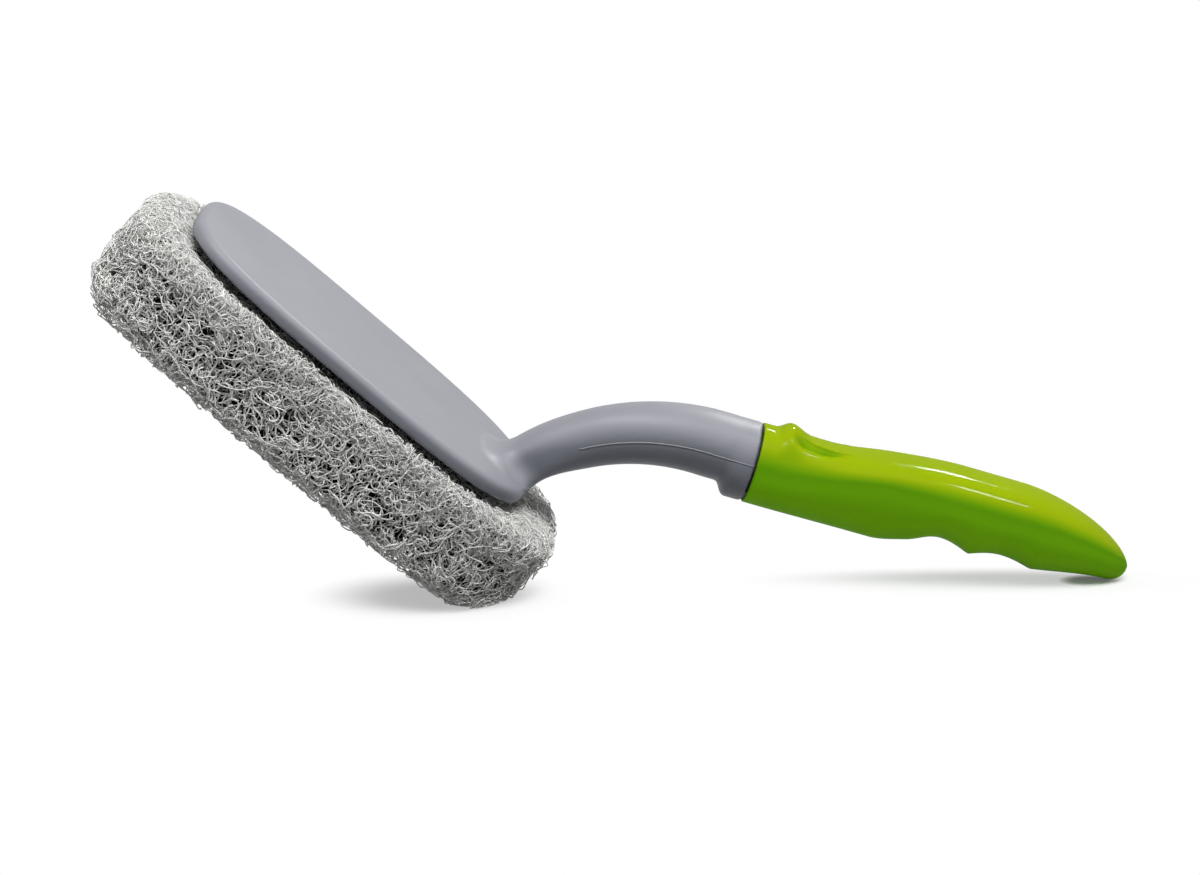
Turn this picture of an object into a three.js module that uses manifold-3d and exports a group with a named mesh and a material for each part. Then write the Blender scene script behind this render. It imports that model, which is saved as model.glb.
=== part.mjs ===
// Tile scrub brush: a thick scouring pad held by hooks on an oval head, whose curved neck carries a moulded grip.
// Millimetres and degrees, +Z up. The brush lies on the lower edge of its pad and on the tail of its grip.
// The head's own frame has X along the plate towards the grip, Z square to the plate and its origin in the middle
// of the plate's underside. The grip's own frame has X along the grip and its origin in the middle of the joint.

import * as THREE from 'three';
import { mergeGeometries, mergeVertices } from 'three/addons/utils/BufferGeometryUtils.js';
import Module from 'manifold-3d';

const wasm = await Module();
wasm.setup();

// Clearances
const seatGap = 0.3;
const jointGap = 0.3;

// Scouring pad
const padLength = 163;
const padWidth = 78;
const padThickness = 34;
const padEdgeRadius = 9;
const padTopEdgeRadius = 4;
const padSquareness = 3.4;
const padForward = 2.5;
const padSettle = 6.4;

// Plate of the head, whose rim reaches down round the hook sheet
const plateLength = 130;
const plateWidth = 70;
const plateThickness = 3.8;
const plateSquareness = 3.3;
const plateRimRadius = 2.4;
const plateRimDrop = 1;

// Hook sheet under the plate, with rows of mushroom hooks across it
const hookInset = 1.5;
const hookBacking = 0.8;
const hookHeight = 0.8;
const hookStem = 0.5;
const hookHead = 1.1;
const hookHeadHeight = 0.35;
const hookPitch = 3.5;
const hookMargin = 2;

// Neck, an arc from the plate's lower end up to the collar
const neckFoot = 5.8;
const neckHeel = 1.2;
const neckFootSquareness = 3.3;
const neckRise = 74.5;
const neckBendRadius = 72;
const neckFootRadius = 7.9;
const neckTopRadius = 10.5;
const neckFillet = 7;
const neckBlend = 24;
const neckRun = 5.3;
const handleAngle = 25.1;

// Collar, flush with the neck on top and stepped below
const collarRadius = 12.6;
const collarStep = 3.6;
const collarLength = 5.6;

// Grip
const gripLength = 123;
const gripRadius = 12.7;
const gripWall = 3.2;
const gripFit = 0.3;
const tangEnd = 24;

// Crown and palm swell of the grip
const palmHeight = 16.6;
const palmStart = 20;
const palmCrest = 66;
const palmHalfWidth = 13.6;
const eggStart = 6;
const eggFull = 44;
const eggEquator = 6.2;
const crownSquareness = 2.5;
const bellySquareness = 1.8;

// Thumb stop, and the crescent scoop beside the thumb on each flank
const thumbStopPlace = 9;
const thumbStopHeight = 2.4;
const thumbStopFront = 4.6;
const thumbStopBack = 7.6;
const thumbStopSpread = 62;
const thumbDip = 0.5;
const thumbDipPlace = 25;
const thumbDipHalfLength = 16;
const scoopDepth = 1.9;
const scoopStart = 8.5;
const scoopEnd = 31.5;
const scoopAngle = 5;
const scoopTurn = 26;
const scoopSpread = 26;

// Finger grooves
const bellyEnd = 42;
const bellyRise = 3.6;
const bellyRiseLength = 18;
const groovePlace = 63.3;
const groovePitch = 20.1;
const grooveDepth = 2.6;
const grooveCount = 2;

// Tail of the grip
const tailTip = 0.5;
const tailRise = 4.4;
const tailRiseLength = 34;
const tailRiseEnd = 5;
const tailTopLength = 38;
const tailTopFullness = 1.65;
const tailSideLength = 42;
const tailSideFullness = 2;
const tailHeelLength = 6;
const tailHeelFullness = 2.2;

// Facets
const padSides = 64;
const padEdgeSteps = 5;
const padTopEdgeSteps = 3;
const plateSides = 64;
const rimSteps = 3;
const neckSides = 32;
const neckSteps = 20;
const filletSteps = 5;
const stepSteps = 4;
const gripSides = 48;
const gripSteps = 60;
const tangSides = 24;
const tangSteps = 22;

// Plain curves

const radians = THREE.MathUtils.degToRad;
const { smoothstep, lerp, clamp } = THREE.MathUtils;

// A power that keeps the sign of its base.
const signedPower = (base, exponent) => Math.sign(base) * Math.abs(base) ** exponent;

// A smooth bump, 1 in the middle and 0 from one half length away.
const bump = (distance, halfLength) => Math.cos(clamp(distance / halfLength, -1, 1) * Math.PI / 2) ** 2;

// A rounded end, 1 up to one length before the end and 0 at the end.
function roundedEnd(fromEnd, length, fullness) {
  const inside = clamp(1 - fromEnd / length, 0, 1);
  return (1 - inside ** fullness) ** (1 / fullness);
}

// A quarter-round fillet, as wide as its radius at the foot and 0 from one radius up.
function filletWidth(height, radius) {
  const inside = clamp(1 - height / radius, 0, 1);
  return radius * (1 - Math.sqrt(1 - inside ** 2));
}

// Even angles round a section.
const anglesAround = (sides) => Array.from({ length: sides }, (_, i) => i / sides * Math.PI * 2);

// Solids

// A closed body through rings of equal count, which turn to the right about the way from first to last.
function loft(rings, firstPole, lastPole) {
  const sides = rings[0].length;
  const points = [firstPole, ...rings.flat(), lastPole];
  const last = points.length - 1;
  const at = (ring, side) => 1 + ring * sides + side % sides;
  const faces = [];
  for (let side = 0; side < sides; side += 1) {
    faces.push(0, at(0, side + 1), at(0, side));
    for (let ring = 0; ring + 1 < rings.length; ring += 1) {
      const [a, b] = [at(ring, side), at(ring, side + 1)];
      const [c, d] = [at(ring + 1, side + 1), at(ring + 1, side)];
      faces.push(a, b, c, a, c, d);
    }
    faces.push(last, at(rings.length - 1, side), at(rings.length - 1, side + 1));
  }
  const geometry = new THREE.BufferGeometry().setFromPoints(points);
  geometry.setIndex(faces);
  return geometry;
}

// A solid that can be joined and cut.
function solid(geometry) {
  const bare = geometry.clone();
  bare.deleteAttribute('normal');
  bare.deleteAttribute('uv');
  const merged = mergeVertices(bare);
  const vertProperties = Float32Array.from(merged.attributes.position.array);
  const triVerts = Uint32Array.from(merged.index.array);
  return new wasm.Manifold(new wasm.Mesh({ numProp: 3, vertProperties, triVerts }));
}

// The geometry of a solid after its joins and cuts.
function geometryOf(body) {
  const { vertProperties, triVerts } = body.getMesh();
  const geometry = new THREE.BufferGeometry();
  geometry.setAttribute('position', new THREE.BufferAttribute(vertProperties, 3));
  geometry.setIndex(new THREE.BufferAttribute(triVerts, 1));
  return geometry;
}

// A point of an oval whose sides grow straighter as squareness goes up from 2.
function ovalPoint(angle, halfLength, halfWidth, squareness) {
  const power = 2 / squareness;
  return [halfLength * signedPower(Math.cos(angle), power), halfWidth * signedPower(Math.sin(angle), power)];
}

// Half the width of such an oval at a place along it.
function ovalHalfWidth(along, halfLength, halfWidth, squareness) {
  const inside = Math.max(0, 1 - Math.abs(along / halfLength) ** squareness);
  return halfWidth * inside ** (1 / squareness);
}

// An oval slab from one height to another, from levels of [height, inset].
function ovalSlab(levels, halfLength, halfWidth, squareness, sides) {
  const ring = ([height, inset]) => anglesAround(sides).map((angle) => {
    const [x, y] = ovalPoint(angle, halfLength - inset, halfWidth - inset, squareness);
    return new THREE.Vector3(x, y, height);
  });
  const pole = ([height]) => new THREE.Vector3(0, 0, height);
  return loft(levels.map(ring), pole(levels[0]), pole(levels.at(-1)));
}

// Levels of a round edge, from its face at the given height outwards, or inwards for the way back.
function roundEdge(faceHeight, radius, steps, upwards) {
  const levels = Array.from({ length: steps + 1 }, (_, i) => {
    const turn = i / steps * Math.PI / 2;
    const drop = radius * (1 - Math.cos(turn));
    return [faceHeight + (upwards ? drop : -drop), radius * (1 - Math.sin(turn))];
  });
  return upwards ? levels : levels.reverse();
}

// Scouring pad

const hookFace = -seatGap - hookBacking;
const padTop = hookFace - hookHeight - seatGap;
const padBottom = padTop - padThickness;

function padSlab() {
  const levels = [
    ...roundEdge(padBottom, padEdgeRadius, padEdgeSteps, true),
    ...roundEdge(padTop, padTopEdgeRadius, padTopEdgeSteps, false),
  ];
  const slab = ovalSlab(levels, padLength / 2, padWidth / 2, padSquareness, padSides);
  return slab.translate(padForward, 0, 0);
}

// Hook sheet

function hookRow(along, halfRow) {
  const foot = hookFace + hookBacking / 2;
  const tip = hookFace - hookHeight;
  const neck = tip + hookHeadHeight;
  const outline = new THREE.Shape([
    new THREE.Vector2(-hookStem / 2, foot),
    new THREE.Vector2(-hookStem / 2, neck),
    new THREE.Vector2(-hookHead / 2, neck),
    new THREE.Vector2(-hookStem / 2, tip),
    new THREE.Vector2(hookStem / 2, tip),
    new THREE.Vector2(hookHead / 2, neck),
    new THREE.Vector2(hookStem / 2, neck),
    new THREE.Vector2(hookStem / 2, foot),
  ]);
  const row = new THREE.ExtrudeGeometry(outline, { depth: 2 * halfRow, bevelEnabled: false });
  return row.rotateX(Math.PI / 2).translate(along, halfRow, 0);
}

function hookSheet() {
  const halfLength = plateLength / 2 - hookInset;
  const halfWidth = plateWidth / 2 - hookInset;
  const levels = [[hookFace, 0], [hookFace + hookBacking, 0]];
  const backing = ovalSlab(levels, halfLength, halfWidth, plateSquareness, plateSides);
  const reach = halfLength - hookMargin;
  const rowsEachSide = Math.floor((reach - hookHead) / hookPitch);
  const rows = [];
  for (let row = -rowsEachSide; row <= rowsEachSide; row += 1) {
    const along = row * hookPitch;
    const outermost = Math.abs(along) + hookHead / 2;
    rows.push(hookRow(along, ovalHalfWidth(outermost, reach, halfWidth - hookMargin, plateSquareness)));
  }
  return geometryOf(solid(backing).add(solid(mergeGeometries(rows))));
}

// Grip, as sections along its axis

// Height of the crown above the axis.
function gripTop(along) {
  const swell = (palmHeight - gripRadius) * smoothstep(along, palmStart, palmCrest);
  const dip = thumbDip * bump(along - thumbDipPlace, thumbDipHalfLength);
  const end = roundedEnd(gripLength - along, tailTopLength, tailTopFullness);
  return lerp(tailTip, gripRadius + swell - dip, end);
}

// Depth of the finger grooves, which meet in sharp ridges. The first one fades in from the belly.
function fingerGroove(along) {
  const half = groovePitch / 2;
  let depth = 0;
  for (let groove = 0; groove < grooveCount; groove += 1) {
    const distance = along - groovePlace - groove * groovePitch;
    const fadesIn = groove === 0 && distance < 0;
    const arch = Math.cos(clamp(distance / half, -1, 1) * Math.PI / 2);
    depth = Math.max(depth, grooveDepth * (fadesIn ? arch ** 2 : arch));
  }
  return depth;
}

// Height of the underside, below the axis.
function gripUnderside(along) {
  const rise = bellyRise * smoothstep(along, bellyEnd, bellyEnd + bellyRiseLength);
  const tailStart = gripLength - tailRiseEnd - tailRiseLength;
  const lift = tailRise * smoothstep(along, tailStart, gripLength - tailRiseEnd);
  const end = roundedEnd(gripLength - along, tailHeelLength, tailHeelFullness);
  return lerp(tailTip, -gripRadius + rise + lift + fingerGroove(along), end);
}

function gripHalfWidth(along) {
  const swell = (palmHalfWidth - gripRadius) * smoothstep(along, palmStart, palmCrest);
  return (gripRadius + swell) * roundedEnd(gripLength - along, tailSideLength, tailSideFullness);
}

// Height of the widest line, which rises from the axis to the egg-shaped part and falls again to the tip.
function gripEquator(along) {
  const raised = eggEquator * smoothstep(along, eggStart, eggFull);
  return lerp(tailTip, raised, roundedEnd(gripLength - along, tailTopLength, tailTopFullness));
}

// Depth of the scoop, a crescent that turns down the flank, with a crisp upper edge and a soft lower one.
function thumbScoop(along, fromCrown) {
  const share = clamp((along - scoopStart) / (scoopEnd - scoopStart), 0, 1);
  const upper = scoopAngle + scoopTurn * (1 - (1 - share) ** 2);
  const across = (fromCrown - upper) / (1 + scoopSpread * (1 - share ** 3));
  const hollow = clamp(2 * across, 0, 1) * (1 - smoothstep(across, 0.45, 1.1));
  return scoopDepth * hollow * smoothstep(share, 0, 0.25) * (1 - smoothstep(share, 0.5, 1));
}

// The thumb stop stands proud and the scoops lie in, by the angle from the crown.
function gripRelief(along, fromCrown) {
  const distance = along - thumbStopPlace;
  const halfLength = distance < 0 ? thumbStopFront : thumbStopBack;
  const stop = bump(distance, halfLength) * bump(fromCrown, thumbStopSpread);
  return thumbStopHeight * stop - thumbScoop(along, fromCrown);
}

// One section of the grip, set in by the given wall. Only the outside has the relief.
function gripSection(along, wall, sides) {
  const egg = smoothstep(along, eggStart, eggFull);
  const crown = 2 / lerp(2, crownSquareness, egg);
  const belly = 2 / lerp(2, bellySquareness, egg);
  const equator = gripEquator(along);
  const above = gripTop(along) - equator - wall;
  const below = equator - gripUnderside(along) - wall;
  const halfWidth = gripHalfWidth(along) - wall;
  return anglesAround(sides).map((angle) => {
    const [across, up] = [Math.cos(angle), Math.sin(angle)];
    const power = up < 0 ? belly : crown;
    const y = halfWidth * signedPower(across, power);
    const z = (up < 0 ? below : above) * signedPower(up, power);
    const fromCrown = Math.abs(THREE.MathUtils.radToDeg(Math.atan2(y, z)));
    const proud = wall > 0 ? 0 : gripRelief(along, fromCrown);
    const reach = Math.hypot(y, z);
    const out = reach > 0 ? 1 + proud / reach : 1;
    return new THREE.Vector3(along, y * out, equator + z * out);
  });
}

// The inside of the grip is the same form set in by its wall, and ends short of the tail.
function gripCore(wall, start, end) {
  const stations = Array.from({ length: tangSteps + 1 }, (_, i) => lerp(start, end, i / tangSteps));
  const middle = (along) => new THREE.Vector3(along, 0, gripEquator(along));
  const rings = stations.map((along) => gripSection(along, wall, tangSides));
  return loft(rings, middle(start), middle(end));
}

// Stations of the outside, closer together towards the tail and beside the thumb.
function gripStations() {
  const station = (step) => {
    const share = step / gripSteps;
    return lerp(jointGap, gripLength, (share + Math.sin(share * Math.PI / 2)) / 2);
  };
  const stations = [];
  for (let step = 0; step < gripSteps; step += 1) {
    stations.push(station(step));
    if (station(step) < scoopEnd) {
      stations.push(station(step + 0.5));
    }
  }
  return stations;
}

function gripBody() {
  const rings = gripStations().map((along) => gripSection(along, 0, gripSides));
  const front = new THREE.Vector3(jointGap, 0, 0);
  const tip = new THREE.Vector3(gripLength, 0, tailTip);
  const bore = gripCore(gripWall, -jointGap, gripLength - tangEnd + gripFit);
  return geometryOf(solid(loft(rings, front, tip)).subtract(solid(bore)));
}

// Head and neck

const neckSweep = radians(neckRise - handleAngle);
const neckLength = neckBendRadius * neckSweep;
const neckStart = new THREE.Vector2(plateLength / 2 - neckFoot, plateThickness);

// Point and angle of the neck's centreline at a distance from the top of the plate.
function neckLine(along) {
  const turned = clamp(along / neckBendRadius, 0, neckSweep);
  const [from, to] = [radians(neckRise), radians(neckRise) - turned];
  const arc = new THREE.Vector2(Math.sin(from) - Math.sin(to), Math.cos(to) - Math.cos(from));
  const straight = along - turned * neckBendRadius;
  const way = new THREE.Vector2(Math.cos(to), Math.sin(to));
  const point = neckStart.clone().addScaledVector(arc, neckBendRadius).addScaledVector(way, straight);
  return { point, angle: to };
}

// One section of the neck: squarish and parallel to the plate at the foot, round and square to the centreline
// further on. The fillet widens the foot everywhere but on the underside, where the heel swells out of the plate's
// end. The flanks widen evenly up to the collar, which lowers the underside alone.
function neckSection(along, atCollar) {
  const { point, angle } = neckLine(along);
  const free = smoothstep(along, 0, neckBlend);
  const tilt = lerp(Math.PI / 2, angle, free);
  const power = 2 / lerp(neckFootSquareness, 2, free);
  const radius = lerp(neckFootRadius, neckTopRadius, clamp(along / neckLength, 0, 1));
  const flank = lerp(neckFootRadius, collarRadius, clamp(along / (neckLength + neckRun + collarStep), 0, 1));
  const fillet = filletWidth(Math.max(along, 0), neckFillet);
  const heel = neckFoot + neckHeel * smoothstep(along, -plateThickness, 0);
  const up = radius + fillet;
  const down = lerp(heel, radius, free) + 2 * (collarRadius - neckTopRadius) * atCollar;
  return anglesAround(neckSides).map((turn) => {
    const raised = (up - down) / 2 + (up + down) / 2 * signedPower(Math.sin(turn), power);
    const x = point.x - raised * Math.sin(tilt);
    const y = (flank + fillet) * signedPower(Math.cos(turn), power);
    const z = point.y + raised * Math.cos(tilt);
    return new THREE.Vector3(x, y, z);
  });
}

function neckSolid() {
  const stepStart = neckLength + neckRun;
  const places = [[-plateThickness, 0], [-plateThickness / 2, 0]];
  for (let i = 0; i < filletSteps; i += 1) {
    const turn = i / filletSteps * Math.PI / 2;
    places.push([neckFillet * (1 - Math.cos(turn)), 0]);
  }
  for (let i = 0; i <= neckSteps; i += 1) {
    places.push([lerp(neckFillet, stepStart, i / neckSteps), 0]);
  }
  for (let i = 1; i <= stepSteps; i += 1) {
    const share = i / stepSteps;
    places.push([stepStart + share * collarStep, smoothstep(share, 0, 1)]);
  }
  places.push([stepStart + collarStep + collarLength, 1]);
  const rings = places.map(([along, atCollar]) => neckSection(along, atCollar));
  const middle = (ring) => ring.reduce((sum, p) => sum.add(p), new THREE.Vector3()).divideScalar(ring.length);
  return solid(loft(rings, middle(rings[0]), middle(rings.at(-1))));
}

// Place of the grip's frame in the head's frame: the middle of the collar's end.
function gripPlace() {
  const { point, angle } = neckLine(neckLength + neckRun + collarStep + collarLength);
  const drop = collarRadius - neckTopRadius;
  const position = new THREE.Vector3(point.x + drop * Math.sin(angle), 0, point.y - drop * Math.cos(angle));
  return { position, angle };
}

function plateSolid() {
  const rimWall = hookInset - seatGap;
  const levels = [
    [0, rimWall],
    [-plateRimDrop, rimWall],
    [-plateRimDrop, 0],
    ...roundEdge(plateThickness, plateRimRadius, rimSteps, false),
  ];
  return solid(ovalSlab(levels, plateLength / 2, plateWidth / 2, plateSquareness, plateSides));
}

function headAndNeck(gripMatrix) {
  const tang = gripCore(gripWall + gripFit, -collarLength / 2, gripLength - tangEnd);
  return geometryOf(plateSolid().add(neckSolid()).add(solid(tang.applyMatrix4(gripMatrix))));
}

// The brush

function piece(name, geometry, color, roughness) {
  const material = new THREE.MeshStandardMaterial({ color, roughness, metalness: 0 });
  geometry.computeVertexNormals();
  const mesh = new THREE.Mesh(geometry, material);
  mesh.name = name;
  return mesh;
}

const { position: gripOrigin, angle: gripAngle } = gripPlace();
const gripMesh = piece('grip', gripBody(), 0x9cbf00, 0.28);
gripMesh.position.copy(gripOrigin);
gripMesh.rotation.y = -gripAngle;
gripMesh.updateMatrix();

const headMesh = piece('head_and_neck', headAndNeck(gripMesh.matrix), 0xa0a2aa, 0.45);
const hookMesh = piece('hook_sheet', hookSheet(), 0x151515, 0.8);

// How low a geometry reaches when the head's frame leans by an angle.
function lowest(geometry, lean) {
  const { array } = geometry.attributes.position;
  let low = Infinity;
  for (let i = 0; i < array.length; i += 3) {
    low = Math.min(low, array[i + 2] * Math.cos(lean) - array[i] * Math.sin(lean));
  }
  return low;
}

// The lean at which the settled pad and the tail of the grip lie equally low.
function restingLean(pad, grip) {
  let [flat, steep] = [0, Math.PI / 2];
  for (let halving = 0; halving < 40; halving += 1) {
    const lean = (flat + steep) / 2;
    const tailTouches = lowest(grip, lean) < lowest(pad, lean) + padSettle;
    [flat, steep] = tailTouches ? [flat, lean] : [lean, steep];
  }
  return (flat + steep) / 2;
}

const padUncut = padSlab();
const gripInHead = gripMesh.geometry.clone().applyMatrix4(gripMesh.matrix);
const lean = restingLean(padUncut, gripInHead);

const brush = new THREE.Group();
brush.rotation.y = lean;
brush.position.z = -lowest(gripInHead, lean);
brush.updateMatrix();

// The soft pad lies flat on the ground where the brush rests on it.
function settledPad() {
  const reach = padLength + padWidth;
  const ground = new THREE.BoxGeometry(2 * reach, reach, reach).translate(0, 0, -reach / 2);
  ground.applyMatrix4(brush.matrix.clone().invert());
  return geometryOf(solid(padUncut).subtract(solid(ground)));
}

brush.add(piece('scouring_pad', settledPad(), 0x9b9b97, 0.95), hookMesh, headMesh, gripMesh);

// The origin lies on the ground, under the middle of the brush's length.
const extent = new THREE.Box3().setFromObject(brush, true);
brush.position.x = -(extent.min.x + extent.max.x) / 2;

export default brush;
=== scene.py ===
"""Looks of a tile scrub brush: a mat of curly fibres, a satin grey head and a glossy green grip.

Sizes are in millimetres and degrees in the head's frame, as in the part's source: X along the plate towards
the grip, Z square to the plate, origin in the middle of the plate's underside. Camera, floor and lights are
in the model's frame, floor and lights in metres.
"""

import bpy
import numpy as np
from mathutils import Matrix, Vector


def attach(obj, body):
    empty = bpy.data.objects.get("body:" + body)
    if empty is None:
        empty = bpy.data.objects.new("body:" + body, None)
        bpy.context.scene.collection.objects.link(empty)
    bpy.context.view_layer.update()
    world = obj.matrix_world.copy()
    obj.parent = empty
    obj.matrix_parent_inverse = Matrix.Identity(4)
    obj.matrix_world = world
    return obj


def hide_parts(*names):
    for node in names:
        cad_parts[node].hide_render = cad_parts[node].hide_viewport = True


# Place of the head's frame in the model
LEAN = 41.772777
HEAD_PLACE = (-79.12305, 0, 72.80328)

# Scouring pad. Its ends lie between two distances from the plate's middle, and its groove round the plate
# between two shares of the plate's size
PAD_LENGTH = 163
PAD_WIDTH = 78
PAD_THICKNESS = 34
PAD_SQUARENESS = 3.4
PAD_FORWARD = 2.5
PAD_EDGE_RADIUS = 9
PAD_SIDE_EDGE_RADIUS = 4
PAD_END_EDGE_RADIUS = 6
PAD_END_ZONE = (54.6, 72.8)
PAD_UPPER_SAG = 1.3
PAD_PRESSED = 1.9
PAD_GROOVE = (0.99, 1.055)
SIDE_BULGE = -0.4
UPPER_END_BULGE = -1.7
# The core is a dark shell of painted shade, standing for the mat's shaded depths
CORE_DEPTH = 4
CORE_EDGE_STEPS = 6
CORE_SIDES = 96

# Where the fibres of the pad start. They are denser and finer beside the plate, and sparse under it
FIBRE_SEED = 11
FIBRE_COUNT = 15600
FIBRE_CANDIDATES = 16
EVEN_SPREAD = np.array([0.8191725, 0.6710436, 0.5497005])
FIBRE_SHELL = 4.5
FIBRE_THINNING = 0.6
SPARSE_SHARE = 0.36
DENSE_ZONE = (15, 4)
UNDER_PLATE_ZONE = (0.9, 1)

# How the fibres run. Curl, twist and their drifts are in radians per millimetre
FIBRE_STEPS = 12
FIBRE_STEP = 0.95
FIBRE_CURL = (0.15, 0.8)
FIBRE_CURL_DRIFT = 0.06
FIBRE_TWIST = 0.5
FIBRE_TWIST_DRIFT = 0.25
FIBRE_TWIST_LIMITS = (-0.9, 0.9)
FIBRE_SHALLOWEST = (0.2, 1.2)
FIBRE_DEEPEST = (0.55, 1.0)
FIBRE_LOOK_AHEAD = 1.6
FIBRE_PUSH_DOWN = 0.4
FIBRE_PUSH_UP = 0.3
FIBRE_PUSH_LIMITS = (-0.7, 0.9)
FIBRE_FLATTENING = 0.12
FIBRE_STRAYS = 0.1
STRAYS_BESIDE_PLATE = 2
STRAY_REACH = 0.35

# Bodies of the fibres
FIBRE_RADIUS = 0.22
FIBRE_FINE_RADIUS = 0.16
FIBRE_RADIUS_SPREAD = (0.75, 1.2)
FIBRE_GROUND_GAP = 1.2
FIBRE_MATS = 7
TUBE_SIDES = 3
TUBE_STEEP = 0.8

# Plate of the head
PLATE_LENGTH = 130
PLATE_WIDTH = 70
PLATE_THICKNESS = 3.8
PLATE_SQUARENESS = 3.3
PLATE_RIM_RADIUS = 2.4
PLATE_RIM_DROP = 1
PLATE_RIM_WALL = 1.2
PLATE_RIM_EDGE = 0.4
PLATE_RIM_STEPS = 8
PLATE_RIM_EDGE_STEPS = 4
PLATE_SIDES = 192

# Hook sheet. The profile of a hook is its radii and heights, from its foot down
SEAT_GAP = 0.3
HOOK_BACKING = 0.8
HOOK_HEIGHT = 0.8
HOOK_INSET = 1.5
HOOK_MARGIN = 2
HOOK_PITCH = 2.4
HOOK_PROFILE = ((0.25, 0.1), (0.22, -0.4), (0.5, -0.46), (0.5, -0.58), (0.3, -0.74))
HOOK_SIDES = 6
HOOK_SHEET_SIDES = 128

# Levels under the plate
HOOK_FACE = -SEAT_GAP - HOOK_BACKING
PAD_TOP = HOOK_FACE - HOOK_HEIGHT - SEAT_GAP
PAD_BOTTOM = PAD_TOP - PAD_THICKNESS

# Neck and collar
HANDLE_ANGLE = 25.1
NECK_FOOT = 5.8
NECK_HEEL = 1.2
NECK_FOOT_SQUARENESS = 3.3
NECK_RISE = 74.5
NECK_BEND_RADIUS = 72
NECK_FOOT_RADIUS = 7.9
NECK_TOP_RADIUS = 10.5
NECK_FILLET = 7
NECK_BLEND = 24
NECK_RUN = 5.3
COLLAR_RADIUS = 12.6
COLLAR_STEP = 3.6
COLLAR_LENGTH = 5.6
COLLAR_EDGE = 0.4
NECK_SIDES = 96
NECK_FOOT_RINGS = 4
NECK_FILLET_RINGS = 13
NECK_BEND_RINGS = 90
COLLAR_STEP_RINGS = 11
PARTING_START = 22
PARTING_RADIUS = 0.35
PARTING_PROUD = 0.24
PARTING_RINGS = 90
HEAD_VOXEL = 0.61
HEAD_SOFTENING = 0.5
HEAD_SOFTENINGS = 6

# Grip, along its own axis from the collar's end
GRIP_LENGTH = 123
GRIP_RADIUS = 12.7
GRIP_WALL = 3.2
GRIP_FIT = 0.3
JOINT_GAP = 0.6
GRIP_EDGE = 0.5
GRIP_SIDES = 320
BORE_RINGS = 16
GRIP_EDGE_RINGS = 6
GRIP_FRONT_RINGS = 129
GRIP_REAR_RINGS = 108
TANG_END = 24
TANG_SIDES = 64
TANG_RINGS = 60
PALM_HEIGHT = 16.6
PALM_START = 20
PALM_CREST = 66
PALM_HALF_WIDTH = 13.6
EGG_START = 6
EGG_FULL = 44
EGG_EQUATOR = 6.2
CROWN_SQUARENESS = 2.5
BELLY_SQUARENESS = 1.8
THUMB_STOP_PLACE = 9
THUMB_STOP_HEIGHT = 2.4
THUMB_STOP_FRONT = 4.6
THUMB_STOP_BACK = 7.6
THUMB_STOP_SPREAD = 62
THUMB_DIP = 0.5
THUMB_DIP_PLACE = 25
THUMB_DIP_HALF_LENGTH = 16
SCOOP_DEPTH = 1.9
SCOOP_START = 8.5
SCOOP_END = 31.5
SCOOP_ANGLE = 5
SCOOP_TURN = 26
SCOOP_SPREAD = 26
SCOOP_STEEPNESS = 2
SCOOP_LOWER_SLOPE = (0.45, 1.1)
SCOOP_FADE_IN = (0, 0.25)
SCOOP_FADE_OUT = (0.5, 1)
SCOOP_BEAD = 0.2
SCOOP_BEAD_WIDTH = 0.09
SCOOP_BEAD_FADE_IN = (0.08, 0.3)
SCOOP_BEAD_FADE_OUT = (0.8, 1)
GRIP_FRONT_END = SCOOP_END + 4
BELLY_END = 42
BELLY_RISE = 3.6
BELLY_RISE_LENGTH = 18
GROOVE_START = 63.3
GROOVE_PITCH = 20.1
GROOVE_COUNT = 2
GROOVE_DEPTH = 2.6
TAIL_TIP = 0.5
TAIL_RISE = 4.4
TAIL_RISE_LENGTH = 34
TAIL_RISE_END = 5
TAIL_TOP_LENGTH = 38
TAIL_TOP_FULLNESS = 1.65
TAIL_SIDE_LENGTH = 42
TAIL_SIDE_FULLNESS = 2
TAIL_HEEL_LENGTH = 6
TAIL_HEEL_FULLNESS = 2.2

# Camera
CAMERA_PLACE = (-6.15, -878.81, 315.3)
CAMERA_TILT = 72.97
CAMERA_LENS = 89.39
SENSOR_WIDTH = 36

# Floor, as grey of the shadowed patches, their glow, and grey for the light that it throws back up
FLOOR_REACH = 4.0
FLOOR_DROP = 0.0002
FLOOR_GREY = 0.78
FLOOR_GLOW = 0.08
FLOOR_BOUNCE = 0.22

# Patches of floor that show the shadow, as middle, reach and strength. A patch is even up to its core
PAD_SHADOW = ((-0.055, -0.016, 0), (0.045, 0.027, 1), 0.62)
GRIP_SHADOW = ((0.124, -0.0025, 0), (0.094, 0.0155, 1), 0.53)
TAIL_SHADOW = ((0.147, -0.0015, 0), (0.016, 0.009, 0.02), 1.0)
SHADOW_CORE = 0.3

# Lights. The kickers are name, place, size and power, and all point at the grip
SKY_AT_HORIZON = 0.14
SKY_ABOVE = 0.4
OVERHEAD_PLACE = (0.22, -0.42, 1.12)
OVERHEAD_TARGET = (0, 0, 0.05)
OVERHEAD_SIZE = (0.8, 0.5)
OVERHEAD_POWER = 14
KICKER_TARGET = (0.095, 0, 0.04)
KICKERS = (
    ("kicker_back", (0.401, 0.59, 0.614), (0.14, 0.085), 4.9),
    ("kicker_top", (0.53, -0.156, 0.815), (0.08, 0.1), 3.4),
    ("kicker_neck", (-0.12, -0.2, 0.94), (0.4, 0.14), 8),
)

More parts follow.
